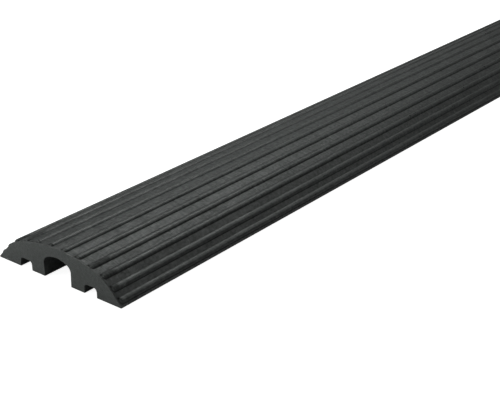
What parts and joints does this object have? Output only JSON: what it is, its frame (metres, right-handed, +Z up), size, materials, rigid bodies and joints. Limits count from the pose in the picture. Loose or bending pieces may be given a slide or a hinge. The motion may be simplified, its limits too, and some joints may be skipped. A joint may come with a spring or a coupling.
{
  "type": "floor cord cover",
  "caption": "Low arched rubber ramp that lies over cords on a floor, with channels for them open underneath and rounded grip beads along its top.",
  "frame": {"origin": "on the floor, in the middle of the footprint", "axes": "+Y along the cover, +X across it, +Z up"},
  "size_m": [0.18, 1.2, 0.0394],
  "materials": {
    "black_rubber": "satin-matt black moulded rubber, finely mottled, glossier along the beads"
  },
  "bodies": {
    "root": {"cord_cover": "black_rubber"}
  },
  "joints": []
}
